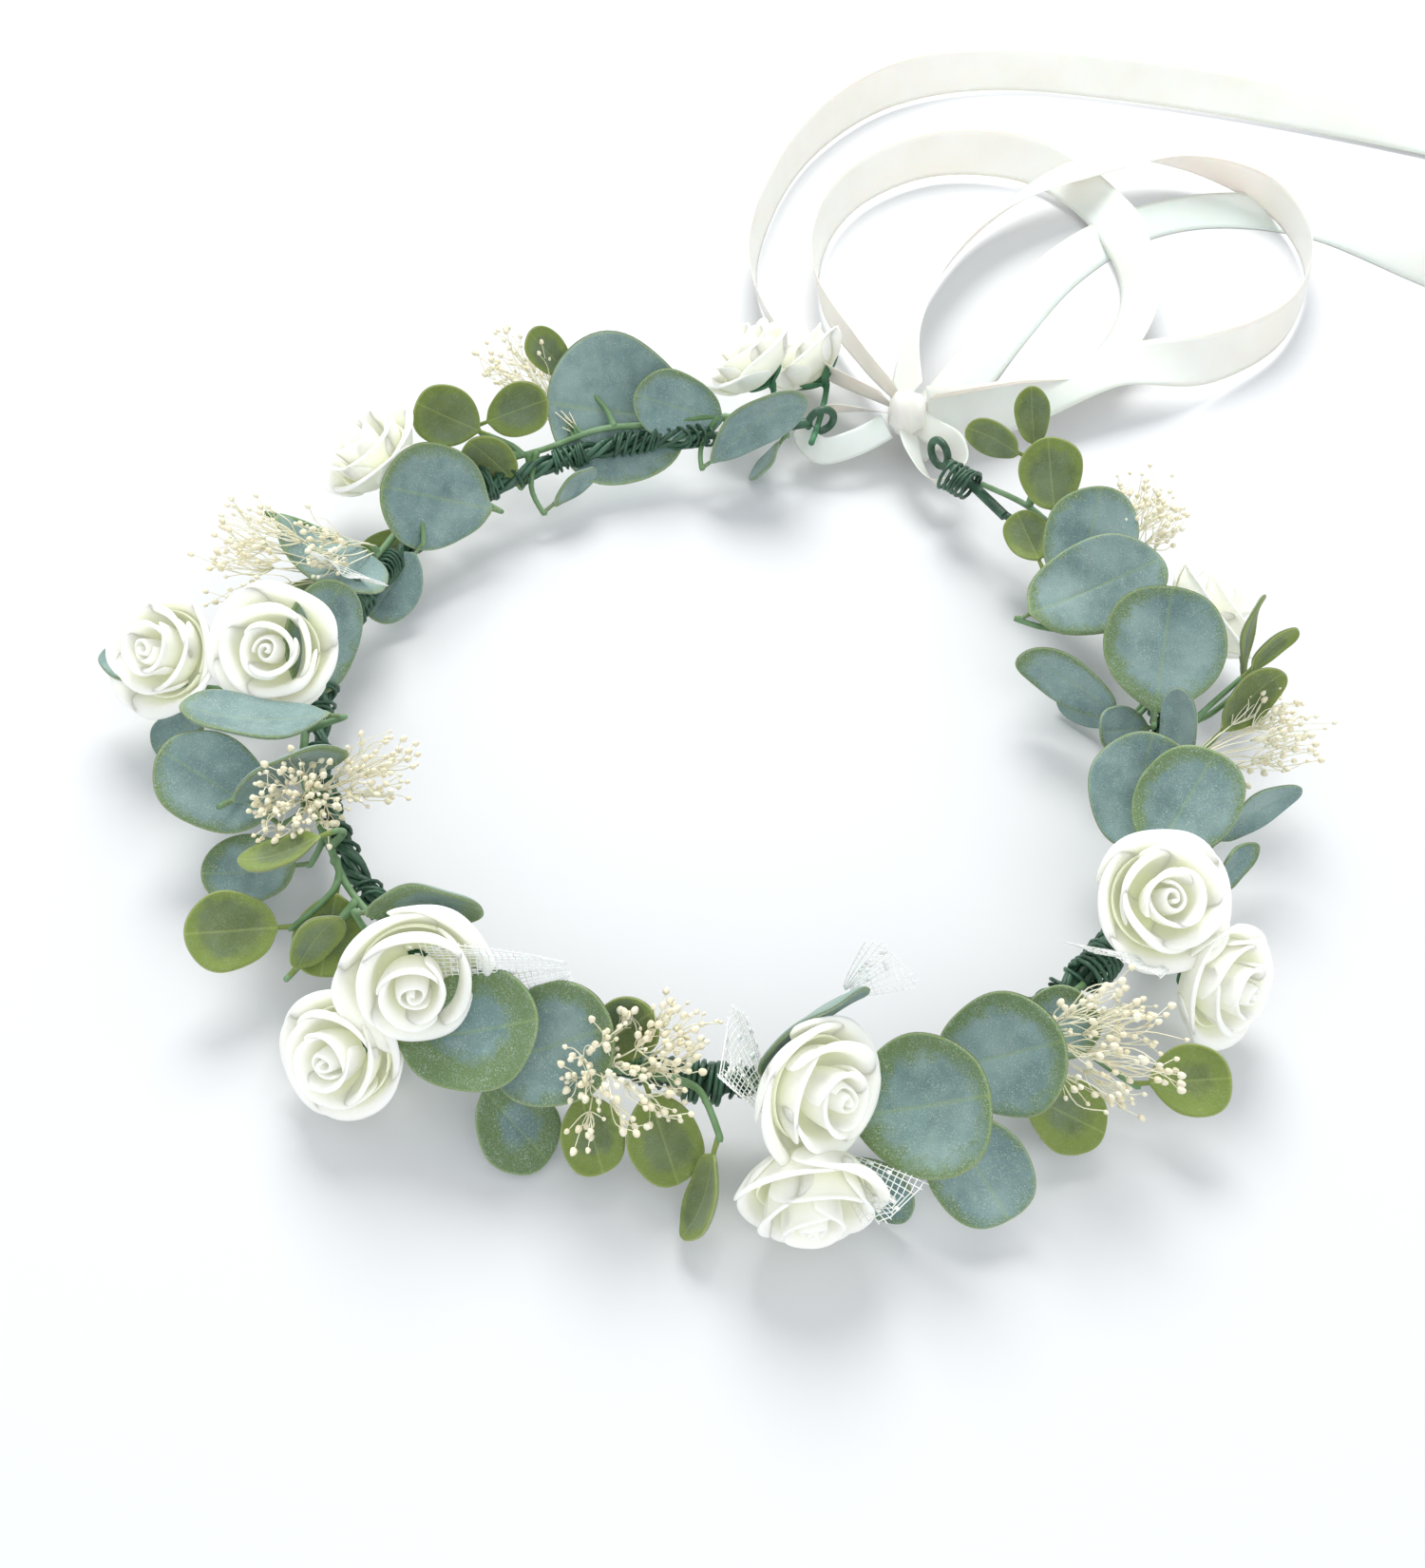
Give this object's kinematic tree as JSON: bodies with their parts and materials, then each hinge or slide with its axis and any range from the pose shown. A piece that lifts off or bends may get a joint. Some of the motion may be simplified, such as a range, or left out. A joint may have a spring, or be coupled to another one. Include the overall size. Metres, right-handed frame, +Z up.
{
  "type": "flower crown",
  "caption": "Wire ring crown with foam roses, round leaves, dried sprays and net, open at the back and closed by a ribbon bow.",
  "frame": {"origin": "centre of the wire ring, on the surface that the crown lies on", "axes": "+Z up through the head opening, +Y towards the open back with its ribbon bow, +X to the wearer's left as the crown is worn with the bow behind"},
  "size_m": [0.3492, 0.4803, 0.0471],
  "materials": {
    "wire": "dark green plastic-covered and paper-wound wire, matt",
    "stem": "moulded green plastic stems, matt",
    "leaf_blue": "soft plastic leaf, dusty blue-green with olive rim, frosted",
    "leaf_olive": "soft plastic leaf, olive green with yellow-green rim, frosted",
    "foam_rose": "ivory polyethylene foam, matt and slightly translucent",
    "dried_spray": "cream dried gypsophila stalks and seed heads, matt",
    "net": "white nylon net with a few small square sequins, open mesh",
    "ribbon": "ivory satin-faced organza ribbon, slightly translucent"
  },
  "bodies": {
    "root": {"hoop_wire": "wire", "hoop_winding": "wire", "hoop_binding": "wire", "sprig_1_stem": "stem", "sprig_1_leaves": "leaf_blue", "sprig_1_tips": "leaf_olive", "sprig_1_calyx": "stem", "sprig_1_spray": "dried_spray", "sprig_2_stem": "stem", "sprig_2_leaves": "leaf_blue", "sprig_2_tips": "leaf_olive", "sprig_2_calyx": "stem", "sprig_2_spray": "dried_spray", "sprig_3_stem": "stem", "sprig_3_leaves": "leaf_blue", "sprig_3_tips": "leaf_olive", "sprig_3_calyx": "stem", "sprig_3_spray": "dried_spray", "sprig_4_stem": "stem", "sprig_4_leaves": "leaf_blue", "sprig_4_tips": "leaf_olive", "sprig_4_calyx": "stem", "sprig_4_spray": "dried_spray", "sprig_5_stem": "stem", "sprig_5_leaves": "leaf_blue", "sprig_5_tips": "leaf_olive", "sprig_5_calyx": "stem", "sprig_5_spray": "dried_spray", "sprig_6_stem": "stem", "sprig_6_leaves": "leaf_blue", "sprig_6_tips": "leaf_olive", "sprig_6_calyx": "stem", "sprig_6_spray": "dried_spray", "sprig_7_stem": "stem", "sprig_7_leaves": "leaf_blue", "sprig_7_tips": "leaf_olive", "sprig_7_calyx": "stem", "sprig_7_spray": "dried_spray", "rose_1a": "foam_rose", "rose_1b": "foam_rose", "rose_2a": "foam_rose", "rose_2b": "foam_rose", "rose_3a": "foam_rose", "rose_3b": "foam_rose", "rose_4a": "foam_rose", "rose_5a": "foam_rose", "rose_5b": "foam_rose", "rose_6a": "foam_rose", "rose_7a": "foam_rose", "rose_7b": "foam_rose", "net_1": "net", "net_2": "net", "net_3": "net", "net_6": "net", "ribbon_knot": "ribbon", "ribbon_wraps": "ribbon", "ribbon_loop_left": "ribbon", "ribbon_loop_right": "ribbon", "ribbon_tail_left": "ribbon", "ribbon_tail_right": "ribbon"}
  },
  "joints": []
}
